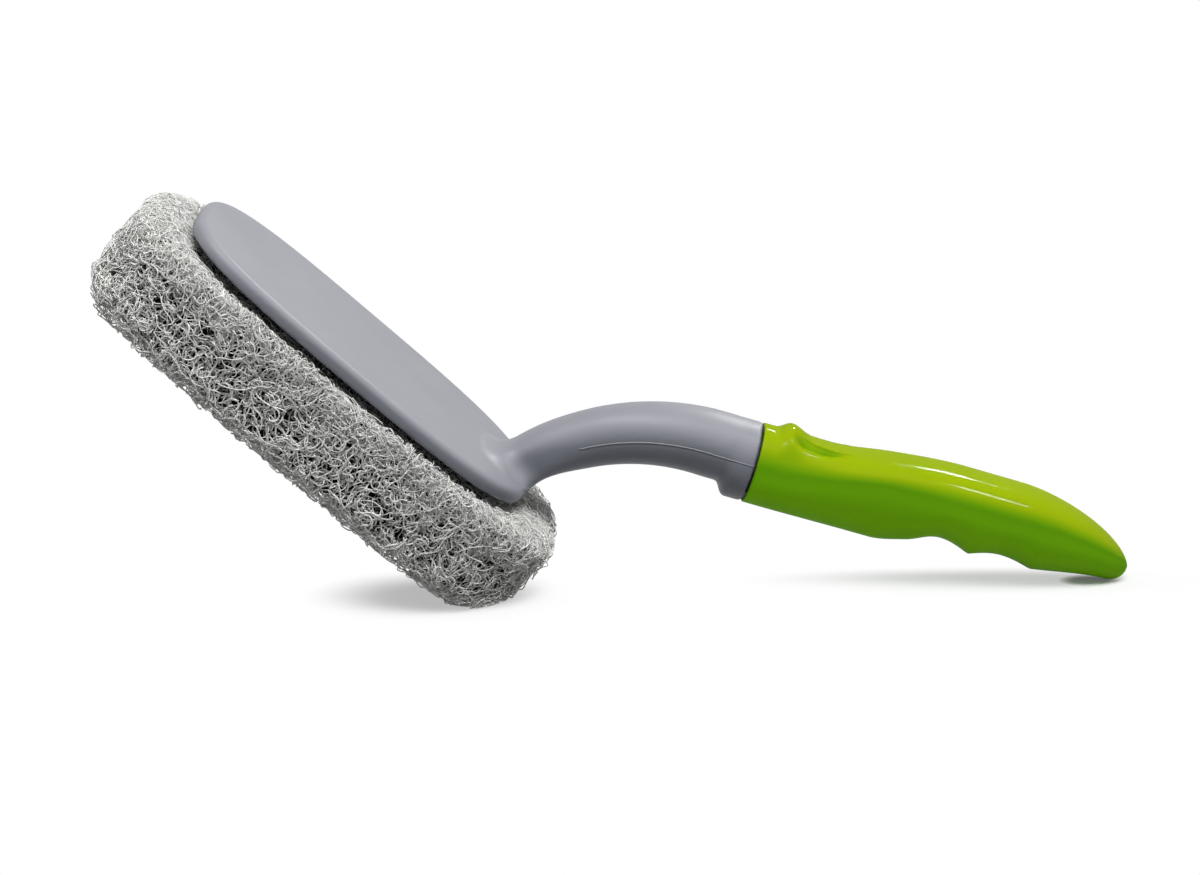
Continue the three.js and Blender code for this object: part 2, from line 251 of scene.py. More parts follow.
# Colours, as the two shades that a pattern mixes, and the spans of the pattern over which it does
FIBRE_SHADES = ((0.84, 0.84, 0.81), (0.93, 0.93, 0.90))
# Painted shade of the mat's depths: a dim web of fibres and near-black cells on the core
PAINTED_DEPTH_SHADE_COLOURS = ((0.30, 0.30, 0.28), (0.008, 0.008, 0.008))
HOOK_SHADES = ((0.008, 0.008, 0.008), (0.02, 0.02, 0.021))
# Painted shade on the head: a darker grey where it faces down or sideways, a lighter one where it faces up
HEAD_PAINTED_SHADE_COLOURS = ((0.180, 0.188, 0.222), (0.200, 0.208, 0.242))
HEAD_PAINTED_LIT_COLOURS = ((0.250, 0.255, 0.288), (0.275, 0.280, 0.313))
# Painted light and shade on the grip: bright green for light from below, dark green shade on the flanks, a
# lit yellow-green crown
GRIP_PAINTED_UNDERLIGHT_COLOURS = ((0.31, 0.84, 0.0006), (0.34, 0.88, 0.0008))
GRIP_PAINTED_SHADE_COLOURS = ((0.12, 0.345, 0.0005), (0.135, 0.365, 0.0006))
GRIP_PAINTED_LIT_CROWN_COLOURS = ((0.285, 0.40, 0.0008), (0.315, 0.44, 0.0010))
CLOUD_SPAN = (0.3, 0.7)
WEB_SPAN = (0.04, 0.14)
WEB_WAVER = 0.004

# Smallest values that are divided by
LEAST_REACH = 0.05
LEAST_SLOPE = 0.01
LEAST_RADIUS = 0.01
LEAST_LENGTH = 1e-9

MM = 0.001


# Plain curves

def lerp(a, b, share):
    return a + (b - a) * share


def smoothstep(x, low, high):
    share = np.clip((x - low) / (high - low), 0, 1)
    return share * share * (3 - 2 * share)


def bump(distance, half_length):
    return np.cos(np.clip(distance / half_length, -1, 1) * np.pi / 2) ** 2


def rounded_end(from_end, length, fullness):
    inside = np.clip(1 - from_end / length, 0, 1)
    return (1 - inside ** fullness) ** (1 / fullness)


def signed_power(base, exponent):
    return np.sign(base) * np.abs(base) ** exponent


def angles_around(sides):
    return np.arange(sides) / sides * 2 * np.pi


def normalised(vectors):
    return vectors / np.linalg.norm(vectors, axis=-1, keepdims=True)


# Frames, from millimetres in a piece's own frame to metres in the model

def leaning(place, angle):
    return Matrix.Translation(place) @ Matrix.Rotation(np.radians(angle), 4, "Y")


HEAD = Matrix.Scale(MM, 4) @ leaning(HEAD_PLACE, LEAN)


# Meshes

def wall_faces(ring_count, sides):
    """Faces from ring to ring."""
    side = np.arange(sides)
    following = (side + 1) % sides
    first = np.arange(ring_count - 1)[:, None] * sides
    second = first + sides
    quads = np.stack([first + side, first + following, second + following, second + side], -1)
    return quads.reshape(-1, 4)


def loft_faces(ring_count, sides):
    """Faces of a closed body through rings of equal count, with a pole before and after them."""
    side = np.arange(sides)
    following = (side + 1) % sides
    last_ring = 1 + (ring_count - 1) * sides
    last = last_ring + sides
    walls = 1 + wall_faces(ring_count, sides)
    start = [(0, 1 + b, 1 + a) for a, b in zip(side, following)]
    end = [(last, last_ring + a, last_ring + b) for a, b in zip(side, following)]
    return [*walls.tolist(), *start, *end]


def loft(rings, last_pole=None):
    """Points and faces of a loft. A pole lies in the middle of its ring, unless the last one is given."""
    rings = np.asarray(rings, float)
    if last_pole is None:
        last_pole = rings[-1].mean(0)
    points = np.vstack([rings[0].mean(0), rings.reshape(-1, 3), last_pole])
    return points, loft_faces(*rings.shape[:2])


def joined(parts):
    """Several bodies as one list of points and faces."""
    points = []
    faces = []
    offset = 0
    for part_points, part_faces in parts:
        points.append(part_points)
        faces.extend([tuple(i + offset for i in face) for face in part_faces])
        offset += len(part_points)
    return np.vstack(points), faces


def mesh_object(name, points, faces, frame, material):
    mesh = bpy.data.meshes.new(name)
    mesh.from_pydata(np.asarray(points), [], faces)
    mesh.update()
    mesh.transform(frame)
    mesh.shade_smooth()
    mesh.materials.append(material)
    piece = bpy.data.objects.new(name, mesh)
    bpy.context.scene.collection.objects.link(piece)
    return piece


def applied(piece):
    """Makes the result of the piece's modifiers its own mesh."""
    evaluated = piece.evaluated_get(bpy.context.evaluated_depsgraph_get())
    mesh = bpy.data.meshes.new_from_object(evaluated)
    piece.modifiers.clear()
    piece.data = mesh


def dressed(piece, body, slot, *nodes):
    """Puts a finished piece on its body and hides the nodes it stands for. Its slot is not used."""
    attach(piece, body)
    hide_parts(*nodes)
    return piece


# Ovals whose sides grow straighter as squareness goes up from 2

def oval_ring(height, half_length, half_width, squareness, sides):
    angle = angles_around(sides)
    power = 2 / squareness
    x = half_length * signed_power(np.cos(angle), power)
    y = half_width * signed_power(np.sin(angle), power)
    return np.stack([x, y, np.full(sides, height)], -1)


def oval_rings(levels, half_length, half_width, squareness, sides):
    """Rings at heights, each set in by its inset."""
    return [oval_ring(z, half_length - inset, half_width - inset, squareness, sides) for z, inset in levels]


def oval_reach(x, y, half_length, half_width, squareness):
    """0 in the middle of an oval and 1 on its outline."""
    return (np.abs(x / half_length) ** squareness + np.abs(y / half_width) ** squareness) ** (1 / squareness)


def round_edge(face_height, radius, steps, upwards):
    """Heights and insets of a round edge, from its face outwards, or back inwards to its face."""
    turn = np.linspace(0, np.pi / 2, steps + 1)
    drop = radius * (1 - np.cos(turn))
    inset = radius * (1 - np.sin(turn))
    if upwards:
        return list(zip(face_height + drop, inset))
    return list(zip(face_height - drop, inset))[::-1]


# Scouring pad

def ground_height(points):
    lean = np.radians(LEAN)
    return HEAD_PLACE[2] - points[..., 0] * np.sin(lean) + points[..., 2] * np.cos(lean)


def clear_of_ground(points, gap):
    """Lifts what lies lower than a gap over the ground."""
    sunk = np.maximum(gap - ground_height(points), 0)
    points[..., 2] += sunk / np.cos(np.radians(LEAN))
    return points


def edge_depth(inwards, downwards, radius):
    """How deep points lie under a side and a face that meet in a round edge."""
    corner_in = radius - inwards
    corner_down = radius - downwards
    rounded = radius - np.hypot(corner_in, corner_down)
    return np.where((corner_in > 0) & (corner_down > 0), rounded, np.minimum(inwards, downwards))


def pad_side_depth(x, y):
    """How far inside the pad's outline points lie."""
    half_length = PAD_LENGTH / 2
    half_width = PAD_WIDTH / 2
    reach = np.maximum(oval_reach(x, y, half_length, half_width, PAD_SQUARENESS), LEAST_REACH)
    slope_x = (np.abs(x) / half_length) ** (PAD_SQUARENESS - 1) / half_length
    slope_y = (np.abs(y) / half_width) ** (PAD_SQUARENESS - 1) / half_width
    slope = np.hypot(slope_x, slope_y) * reach ** (1 - PAD_SQUARENESS)
    return (1 - reach) / np.maximum(slope, LEAST_SLOPE)


def plate_reach(points):
    """0 under the middle of the plate and 1 under its outline."""
    return oval_reach(points[:, 0], points[:, 1], PLATE_LENGTH / 2, PLATE_WIDTH / 2, PLATE_SQUARENESS)


def pad_depth(points):
    """How deep points lie under the surface of the pad, pressed in by the plate and flat on the ground."""
    inwards = pad_side_depth(points[:, 0] - PAD_FORWARD, points[:, 1])
    past_end = smoothstep(np.abs(points[:, 0]), *PAD_END_ZONE)
    upper_end = smoothstep(-points[:, 0], *PAD_END_ZONE)
    bulge = lerp(SIDE_BULGE, UPPER_END_BULGE, upper_end)
    top = PAD_TOP + lerp(-PAD_PRESSED, bulge, smoothstep(plate_reach(points), *PAD_GROOVE))
    top_radius = lerp(PAD_SIDE_EDGE_RADIUS, PAD_END_EDGE_RADIUS, past_end)
    under_top = edge_depth(inwards, top - points[:, 2], top_radius)
    bottom = PAD_BOTTOM - PAD_UPPER_SAG * upper_end
    over_bottom = edge_depth(inwards, points[:, 2] - bottom, PAD_EDGE_RADIUS)
    return np.minimum(np.minimum(under_top, over_bottom), ground_height(points))


def inward(points):
    """The way down into the pad."""
    reach = 0.2
    slope = [pad_depth(points + reach * axis) - pad_depth(points - reach * axis) for axis in np.eye(3)]
    return normalised(np.stack(slope, -1) + LEAST_LENGTH)


def near_plate(points):
    """0 in the lower part of the pad and 1 beside the plate, where the mat is finer and denser."""
    deepest, highest = DENSE_ZONE
    return smoothstep(points[:, 2], PAD_TOP - deepest, PAD_TOP - highest)


def under_plate(points):
    """1 under the plate and 0 beside it."""
    return 1 - smoothstep(plate_reach(points), *UNDER_PLATE_ZONE)


def fibre_starts(rng):
    """Points of the pad's outer layer, more of them near its surface."""
    low = np.array([PAD_FORWARD - PAD_LENGTH / 2, -PAD_WIDTH / 2, PAD_BOTTOM])
    high = np.array([PAD_FORWARD + PAD_LENGTH / 2, PAD_WIDTH / 2, PAD_TOP])
    even = (np.arange(FIBRE_COUNT * FIBRE_CANDIDATES)[:, None] * EVEN_SPREAD) % 1
    points = low + (high - low) * even
    depth = pad_depth(points)
    crowded = near_plate(points) * (1 - under_plate(points))
    wanted = (1 - FIBRE_THINNING * depth / FIBRE_SHELL) * lerp(SPARSE_SHARE, 1, crowded)
    inside = (depth > FIBRE_RADIUS) & (depth < FIBRE_SHELL) & (rng.random(len(points)) < wanted)
    return rng.permutation(points[inside])[:FIBRE_COUNT]


def swung(way, towards, angle):
    return way * np.cos(angle)[:, None] + towards * np.sin(angle)[:, None]


def along_part(vectors, way):
    """The part of vectors that runs along a way."""
    return way * (vectors * way).sum(1, keepdims=True)


def fibre_lines(rng):
    """Curly lines that turn back at the pad's surface and at the depth of its outer layer."""
    place = fibre_starts(rng)
    count = len(place)
    way = normalised(rng.normal(size=(count, 3)))
    bend = normalised(np.cross(way, rng.normal(size=(count, 3))))
    curl = rng.uniform(*FIBRE_CURL, count)
    twist = rng.uniform(-FIBRE_TWIST, FIBRE_TWIST, count)
    stray = rng.random(count) < FIBRE_STRAYS * (1 + STRAYS_BESIDE_PLATE * near_plate(place))
    stray &= under_plate(place) < 0.5
    shallow = np.where(stray, -STRAY_REACH, rng.uniform(*FIBRE_SHALLOWEST, count))
    deep = rng.uniform(*FIBRE_DEEPEST, count) * FIBRE_SHELL
    line = [place]
    for _ in range(FIBRE_STEPS):
        curl = np.clip(curl + rng.normal(0, FIBRE_CURL_DRIFT, count), *FIBRE_CURL)
        twist = np.clip(twist + rng.normal(0, FIBRE_TWIST_DRIFT, count), *FIBRE_TWIST_LIMITS)
        bend = swung(bend, np.cross(way, bend), twist * FIBRE_STEP)
        way = swung(way, bend, curl * FIBRE_STEP)
        down = inward(place)
        ahead = pad_depth(place + way * FIBRE_LOOK_AHEAD * FIBRE_STEP)
        push = FIBRE_PUSH_DOWN * np.maximum(shallow - ahead, 0) - FIBRE_PUSH_UP * np.maximum(ahead - deep, 0)
        way = way - FIBRE_FLATTENING * along_part(way, down)
        way = normalised(way + np.clip(push, *FIBRE_PUSH_LIMITS)[:, None] * down)
        bend = normalised(bend - along_part(bend, way))
        place = place + way * FIBRE_STEP
        line.append(place)
    return clear_of_ground(np.stack(line, 1), FIBRE_RADIUS * FIBRE_GROUND_GAP)


def tube_points(lines, radius):
    """Rings of points round lines of equal count, carried along each line without twist."""
    ways = normalised(np.gradient(lines, axis=1))
    spare = np.where(np.abs(ways[:, 0, 2:]) < TUBE_STEEP, [[0, 0, 1]], [[1, 0, 0]])
    across = normalised(np.cross(ways[:, 0], spare))
    angle = angles_around(TUBE_SIDES)
    rings = []
    for i in range(lines.shape[1]):
        way = ways[:, i]
        across = normalised(across - along_part(across, way))
        other = np.cross(way, across)
        spread = across[:, None] * np.cos(angle)[:, None] + other[:, None] * np.sin(angle)[:, None]
        rings.append(lines[:, None, i] + spread * radius[:, None, None])
    return np.stack(rings, 1)


def tube_faces(count, rings):
    """Faces of that many closed tubes."""
    side = np.arange(TUBE_SIDES)
    ends = np.stack([side[::-1], (rings - 1) * TUBE_SIDES + side])
    offset = np.arange(count)[:, None, None] * rings * TUBE_SIDES
    walls = (wall_faces(rings, TUBE_SIDES) + offset).reshape(-1, 4)
    caps = (ends + offset).reshape(-1, TUBE_SIDES)
    return [*walls.tolist(), *caps.tolist()]


def make_fibres(material):
    rng = np.random.default_rng(FIBRE_SEED)
    lines = fibre_lines(rng)
    radius = lerp(FIBRE_RADIUS, FIBRE_FINE_RADIUS, near_plate(lines[:, 0]))
    radius = radius * rng.uniform(*FIBRE_RADIUS_SPREAD, len(lines))
    for i, share in enumerate(np.array_split(np.arange(len(lines)), FIBRE_MATS)):
        points = tube_points(lines[share], radius[share])
        faces = tube_faces(len(share), lines.shape[1])
        mat = mesh_object(f"pad_fibres_{i + 1}", points.reshape(-1, 3), faces, HEAD, material)
        dressed(mat, "pad", "pad", "scouring_pad")


def make_painted_shade_core(material):
    """A dark shell inside the pad, under its outer layer of fibres: painted shade that stands for the shaded
    depths of the mat.
    """
    levels = [
        *round_edge(PAD_BOTTOM + CORE_DEPTH, PAD_EDGE_RADIUS / 2, CORE_EDGE_STEPS, True),
        *round_edge(PAD_TOP - CORE_DEPTH, PAD_SIDE_EDGE_RADIUS / 2, CORE_EDGE_STEPS, False),
    ]
    half_length = PAD_LENGTH / 2 - CORE_DEPTH
    half_width = PAD_WIDTH / 2 - CORE_DEPTH
    points, faces = loft(oval_rings(levels, half_length, half_width, PAD_SQUARENESS, CORE_SIDES))
    points[:, 0] += PAD_FORWARD
    core = mesh_object("pad_core_painted_shade", clear_of_ground(points, CORE_DEPTH / 2), faces, HEAD, material)
    return dressed(core, "pad", "pad", "scouring_pad")


# Hook sheet

def hook_body():
    """One mushroom hook, its foot in the backing, pointing down."""
    angle = angles_around(HOOK_SIDES)
    around = np.stack([np.cos(angle), -np.sin(angle), np.zeros(HOOK_SIDES)], -1)
    rings = [radius * around + (0, 0, height) for radius, height in HOOK_PROFILE]
    return loft(rings, last_pole=(0, 0, -HOOK_HEIGHT))


def make_hook_sheet(material):
    half_length = PLATE_LENGTH / 2 - HOOK_INSET
    half_width = PLATE_WIDTH / 2 - HOOK_INSET
    levels = [(HOOK_FACE, 0), (HOOK_FACE + HOOK_BACKING, 0)]
    backing = oval_rings(levels, half_length, half_width, PLATE_SQUARENESS, HOOK_SHEET_SIDES)
    columns = np.arange(-half_length, half_length, HOOK_PITCH)
    rows = np.arange(-half_width, half_width, HOOK_PITCH)
    x, y = np.meshgrid(columns, rows, indexing="ij")
    x = x + (np.arange(len(rows)) % 2) * HOOK_PITCH / 2
    margin = (half_length - HOOK_MARGIN, half_width - HOOK_MARGIN)
    inside = oval_reach(x, y, *margin, PLATE_SQUARENESS) < 1
    points, faces = hook_body()
    places = np.stack([x[inside], y[inside], np.full(inside.sum(), HOOK_FACE)], -1)
    hooks = [(points + place, faces) for place in places]
    sheet = mesh_object("hook_sheet_fine", *joined([loft(backing), *hooks]), HEAD, material)
    dressed(sheet, "handle", "hooks", "hook_sheet")


# Grip, as sections along its axis

def grip_top(along):
    swell = (PALM_HEIGHT - GRIP_RADIUS) * smoothstep(along, PALM_START, PALM_CREST)
    dip = THUMB_DIP * bump(along - THUMB_DIP_PLACE, THUMB_DIP_HALF_LENGTH)
    end = rounded_end(GRIP_LENGTH - along, TAIL_TOP_LENGTH, TAIL_TOP_FULLNESS)
    return lerp(TAIL_TIP, GRIP_RADIUS + swell - dip, end)


def finger_groove(along):
    """Grooves that meet in sharp ridges. The first one fades in from the belly."""
    depth = np.zeros_like(along)
    for i in range(GROOVE_COUNT):
        distance = along - (GROOVE_START + i * GROOVE_PITCH)
        arch = np.cos(np.clip(distance / (GROOVE_PITCH / 2), -1, 1) * np.pi / 2)
        faded = np.where((i == 0) & (distance < 0), arch ** 2, arch)
        depth = np.maximum(depth, GROOVE_DEPTH * faded)
    return depth


def grip_underside(along):
    rise = BELLY_RISE * smoothstep(along, BELLY_END, BELLY_END + BELLY_RISE_LENGTH)
    tail_start = GRIP_LENGTH - TAIL_RISE_END - TAIL_RISE_LENGTH
    lift = TAIL_RISE * smoothstep(along, tail_start, GRIP_LENGTH - TAIL_RISE_END)
    end = rounded_end(GRIP_LENGTH - along, TAIL_HEEL_LENGTH, TAIL_HEEL_FULLNESS)
    return lerp(TAIL_TIP, -GRIP_RADIUS + rise + lift + finger_groove(along), end)


def grip_half_width(along):
    swell = (PALM_HALF_WIDTH - GRIP_RADIUS) * smoothstep(along, PALM_START, PALM_CREST)
    return (GRIP_RADIUS + swell) * rounded_end(GRIP_LENGTH - along, TAIL_SIDE_LENGTH, TAIL_SIDE_FULLNESS)


def grip_equator(along):
    raised = EGG_EQUATOR * smoothstep(along, EGG_START, EGG_FULL)
    return lerp(TAIL_TIP, raised, rounded_end(GRIP_LENGTH - along, TAIL_TOP_LENGTH, TAIL_TOP_FULLNESS))


def scoop_depth(along, from_crown):
    """A crescent on each flank beside the thumb, with a fine bead on its upper edge and a soft lower end."""
    share = np.clip((along - SCOOP_START) / (SCOOP_END - SCOOP_START), 0, 1)
    upper = SCOOP_ANGLE + SCOOP_TURN * (1 - (1 - share) ** 2)
    across = (from_crown - upper) / (1 + SCOOP_SPREAD * (1 - share ** 3))
    hollow = np.clip(SCOOP_STEEPNESS * across, 0, 1) * (1 - smoothstep(across, *SCOOP_LOWER_SLOPE))
    fade = smoothstep(share, *SCOOP_FADE_IN) * (1 - smoothstep(share, *SCOOP_FADE_OUT))
    bead = smoothstep(share, *SCOOP_BEAD_FADE_IN) * (1 - smoothstep(share, *SCOOP_BEAD_FADE_OUT))
    return SCOOP_DEPTH * hollow * fade - SCOOP_BEAD * bump(across, SCOOP_BEAD_WIDTH) * bead


def grip_relief(along, from_crown):
    distance = along - THUMB_STOP_PLACE
    half_length = np.where(distance < 0, THUMB_STOP_FRONT, THUMB_STOP_BACK)
    stop = bump(distance, half_length) * bump(from_crown, THUMB_STOP_SPREAD)
    return THUMB_STOP_HEIGHT * stop - scoop_depth(along, from_crown)


def grip_sections(along, wall, sides):
    """Sections of the grip, each set in by its wall. Only the outside has the relief."""
    along = np.asarray(along, float)[:, None]
    wall = np.broadcast_to(np.asarray(wall, float), along.shape[:1])[:, None]
    egg = smoothstep(along, EGG_START, EGG_FULL)
    angle = angles_around(sides)[None]
    up = np.sin(angle)
    power = np.where(up < 0, 2 / lerp(2, BELLY_SQUARENESS, egg), 2 / lerp(2, CROWN_SQUARENESS, egg))
    equator = grip_equator(along)
    above = grip_top(along) - equator - wall
    below = equator - grip_underside(along) - wall
    y = (grip_half_width(along) - wall) * signed_power(np.cos(angle), power)
    z = np.where(up < 0, below, above) * signed_power(up, power)
    from_crown = np.abs(np.degrees(np.arctan2(y, z)))
    proud = np.where(wall > GRIP_EDGE, 0, grip_relief(along, from_crown))
    out = 1 + proud / np.maximum(np.hypot(y, z), LEAST_RADIUS)
    return np.stack([np.broadcast_to(along, y.shape), y * out, equator + z * out], -1)


def make_grip(material):
    """The grip from the end of its bore, round its front edge and on to its tail, where rings lie closer."""
    bore = np.linspace(GRIP_LENGTH - TANG_END + GRIP_FIT, JOINT_GAP, BORE_RINGS)
    turn = np.linspace(0, np.pi / 2, GRIP_EDGE_RINGS)
    edge = JOINT_GAP + GRIP_EDGE * (1 - np.cos(turn))
    edge_inset = GRIP_EDGE * (1 - np.sin(turn))
    front = np.linspace(JOINT_GAP + GRIP_EDGE, GRIP_FRONT_END, GRIP_FRONT_RINGS + 1)[1:]
    share = np.linspace(0, 1, GRIP_REAR_RINGS + 2)[1:-1]
    rear = lerp(GRIP_FRONT_END, GRIP_LENGTH, (share + np.sin(share * np.pi / 2)) / 2)
    rings = np.concatenate([
        grip_sections(bore, GRIP_WALL, GRIP_SIDES),
        grip_sections(edge, edge_inset, GRIP_SIDES),
        grip_sections(front, 0, GRIP_SIDES),
        grip_sections(rear, 0, GRIP_SIDES),
    ])
    grip = mesh_object("grip_fine", *loft(rings, last_pole=(GRIP_LENGTH, 0, TAIL_TIP)), GRIP, material)
    return dressed(grip, "handle", "grip", "grip")


# Head and neck

NECK_SWEEP = np.radians(NECK_RISE - HANDLE_ANGLE)
NECK_LENGTH = NECK_BEND_RADIUS * NECK_SWEEP
STEP_START = NECK_LENGTH + NECK_RUN
STEP_END = STEP_START + COLLAR_STEP
COLLAR_END = STEP_END + COLLAR_LENGTH


def neck_line(along):
    """Points and angles of the neck's centreline at distances from the top of the plate."""
    turned = np.clip(along / NECK_BEND_RADIUS, 0, NECK_SWEEP)
    start = np.radians(NECK_RISE)
    angle = start - turned
    straight = along - turned * NECK_BEND_RADIUS
    forward = NECK_BEND_RADIUS * (np.sin(start) - np.sin(angle)) + straight * np.cos(angle)
    upward = NECK_BEND_RADIUS * (np.cos(angle) - np.cos(start)) + straight * np.sin(angle)
    return PLATE_LENGTH / 2 - NECK_FOOT + forward, PLATE_THICKNESS + upward, angle


def neck_radius(along):
    return lerp(NECK_FOOT_RADIUS, NECK_TOP_RADIUS, np.clip(along / NECK_LENGTH, 0, 1))


def collar_drop(along):
    """How far the collar lowers the middle of the section."""
    return (COLLAR_RADIUS - NECK_TOP_RADIUS) * smoothstep(along, STEP_START, STEP_END)


def grip_place():
    """The middle of the collar's end, where the grip's frame has its origin."""
    x, z, angle = neck_line(COLLAR_END)
    drop = collar_drop(COLLAR_END)
    return x + drop * np.sin(angle), 0, z - drop * np.cos(angle)


GRIP_IN_HEAD = leaning(grip_place(), -HANDLE_ANGLE)
GRIP = HEAD @ GRIP_IN_HEAD


def neck_sections(along, turn):
    """Sections of the neck, squarish at the foot with a heel and a fillet, and even in the flanks."""
    along = np.asarray(along, float)[:, None]
    x, z, angle = neck_line(along)
    free = smoothstep(along, 0, NECK_BLEND)
    tilt = lerp(np.pi / 2, angle, free)
    power = 2 / lerp(NECK_FOOT_SQUARENESS, 2, free)
    flank = lerp(NECK_FOOT_RADIUS, COLLAR_RADIUS, np.clip(along / STEP_END, 0, 1))
    inside = np.clip(1 - np.maximum(along, 0) / NECK_FILLET, 0, 1)
    fillet = NECK_FILLET * (1 - np.sqrt(1 - inside ** 2))
    heel = NECK_FOOT + NECK_HEEL * smoothstep(along, -PLATE_THICKNESS, 0)
    up = neck_radius(along) + fillet
    down = lerp(heel, neck_radius(along), free) + 2 * collar_drop(along)
    raised = (up - down) / 2 + (up + down) / 2 * signed_power(np.sin(turn), power)
    y = (flank + fillet) * signed_power(np.cos(turn), power)
    return np.stack([x - raised * np.sin(tilt), y, z + raised * np.cos(tilt)], -1)


def neck_body():
    """The neck, from its foot inside the plate to the end of its collar."""
    foot = np.linspace(-PLATE_THICKNESS, 0, NECK_FOOT_RINGS + 1)[:-1]
    turn = np.linspace(0, np.pi / 2, NECK_FILLET_RINGS + 1)[:-1]
    fillet = NECK_FILLET * (1 - np.cos(turn))
    bend = np.linspace(NECK_FILLET, STEP_START, NECK_BEND_RINGS)
    step = np.linspace(STEP_START, STEP_END, COLLAR_STEP_RINGS + 1)[1:]
    along = np.concatenate([foot, fillet, bend, step, [COLLAR_END]])
    return loft(neck_sections(along, angles_around(NECK_SIDES)[None]))


def plate_body():
    """The plate, with a rim that reaches down round the hook sheet."""
    levels = [
        (0, PLATE_RIM_WALL),
        (-PLATE_RIM_DROP, PLATE_RIM_WALL),
        *round_edge(-PLATE_RIM_DROP, PLATE_RIM_EDGE, PLATE_RIM_EDGE_STEPS, True),
        *round_edge(PLATE_THICKNESS, PLATE_RIM_RADIUS, PLATE_RIM_STEPS, False),
    ]
    return loft(oval_rings(levels, PLATE_LENGTH / 2, PLATE_WIDTH / 2, PLATE_SQUARENESS, PLATE_SIDES))


def tang_body():
    """What the grip is fixed to, from inside the collar to near the grip's end."""
    along = np.linspace(-COLLAR_LENGTH / 2, GRIP_LENGTH - TANG_END, TANG_RINGS)
    points, faces = loft(grip_sections(along, GRIP_WALL + GRIP_FIT, TANG_SIDES))
    in_head = points @ np.array(GRIP_IN_HEAD.to_3x3()).T + np.array(GRIP_IN_HEAD.translation)
    return in_head, faces


def make_head(material):
    """Plate, neck and tang, melted into one smooth skin."""
    points, faces = joined([plate_body(), neck_body(), tang_body()])
    head = mesh_object("head_and_neck_fine", points, faces, Matrix.Scale(MM, 4), material)
    remesh = head.modifiers.new("one_body", "REMESH")
    remesh.mode = "VOXEL"
    remesh.voxel_size = HEAD_VOXEL * MM
    remesh.use_smooth_shade = True
    soften = head.modifiers.new("soften", "SMOOTH")
    soften.factor = HEAD_SOFTENING
    soften.iterations = HEAD_SOFTENINGS
    applied(head)
    head.data.transform(HEAD @ Matrix.Scale(1 / MM, 4))
    head.data.shade_smooth()
    dressed(head, "handle", "head", "head_and_neck")


def make_parting_lines(material):
    """The fine raised line where the two halves of the neck's mould met, along both flanks."""
    along = np.linspace(PARTING_START, COLLAR_END - COLLAR_EDGE, PARTING_RINGS)
    turn = np.arcsin(collar_drop(along) / (neck_radius(along) + collar_drop(along)))
    lines = neck_sections(along, np.stack([turn, np.pi - turn], -1)).transpose(1, 0, 2)
    lines[:, :, 1] += np.sign(lines[:, :, 1]) * (PARTING_PROUD - PARTING_RADIUS)
    points = tube_points(lines, np.full(len(lines), PARTING_RADIUS))
    faces = tube_faces(len(lines), lines.shape[1])
    ridge = mesh_object("neck_parting_lines", points.reshape(-1, 3), faces, HEAD, material)
    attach(ridge, "handle")


# Materials

class Nodes:
    """A node tree and a short way to add nodes to it."""

    def __init__(self, tree):
        self.tree = tree

    def node(self, kind, **inputs):
        node = self.tree.nodes.new(kind)
        for name, value in inputs.items():
            self.feed(node.inputs[name.replace("_", " ")], value)
        return node

    def feed(self, socket, value):
        if isinstance(value, bpy.types.NodeSocket):
            self.tree.links.new(value, socket)
        else:
            socket.default_value = value

    def most(self, first, second):
        node = self.node("ShaderNodeMath")
        node.operation = "MAXIMUM"
        self.feed(node.inputs[0], first)
        self.feed(node.inputs[1], second)
        return node.outputs["Value"]

    def vector(self, operation, first, second):
        node = self.node("ShaderNodeVectorMath")
        node.operation = operation
        self.feed(node.inputs[0], first)
        self.feed(node.inputs[1], second)
        return node.outputs["Vector"]


class Shader(Nodes):
    """A node material."""

    def __init__(self, name):
        self.material = bpy.data.materials.new(name)
        self.material.use_nodes = True
        super().__init__(self.material.node_tree)
        self.surface = self.tree.nodes["Principled BSDF"]
        self.output = self.tree.nodes["Material Output"]

    def noise(self, scale, detail):
        place = self.node("ShaderNodeTexCoord").outputs["Object"]
        return self.node("ShaderNodeTexNoise", Vector=place, Scale=scale, Detail=detail)

    def ramp(self, factor, low, high, start=0.0, end=1.0):
        ramp = self.node("ShaderNodeValToRGB", Fac=factor)
        ramp.color_ramp.elements[0].position = start
        ramp.color_ramp.elements[0].color = (*low, 1)
        ramp.color_ramp.elements[1].position = end
        ramp.color_ramp.elements[1].color = (*high, 1)
        return ramp.outputs["Color"]

    def span(self, factor, low, high):
        return self.node("ShaderNodeMapRange", Value=factor, To_Min=low, To_Max=high).outputs["Result"]

    def painted_shade_by_facing(self, below, above, low, high):
        """Painted light and shade: one colour on surfaces that face down or sideways and another on those
        that face up.
        """
        facing = self.node("ShaderNodeSeparateXYZ", Vector=self.node("ShaderNodeTexCoord").outputs["Normal"])
        share = self.node("ShaderNodeMapRange", Value=facing.outputs["Z"], From_Min=low, From_Max=high)
        mix = self.node("ShaderNodeMix", Factor=share.outputs["Result"])
        mix.data_type = "RGBA"
        self.feed(mix.inputs["A"], below)
        self.feed(mix.inputs["B"], above)
        return mix.outputs["Result"]

    def blend(self, share, first, second):
        """One surface where share is 0 and another where it is 1."""
        mix = self.node("ShaderNodeMixShader", Fac=share)
        self.feed(mix.inputs[1], first)
        self.feed(mix.inputs[2], second)
        return mix.outputs["Shader"]

    def bump(self, height, strength, distance):
        node = self.node("ShaderNodeBump", Height=height, Strength=strength, Distance=distance)
        return node.outputs["Normal"]

    def principled(self, **inputs):
        for name, value in inputs.items():
            self.feed(self.surface.inputs[name.replace("_", " ")], value)
        return self.material


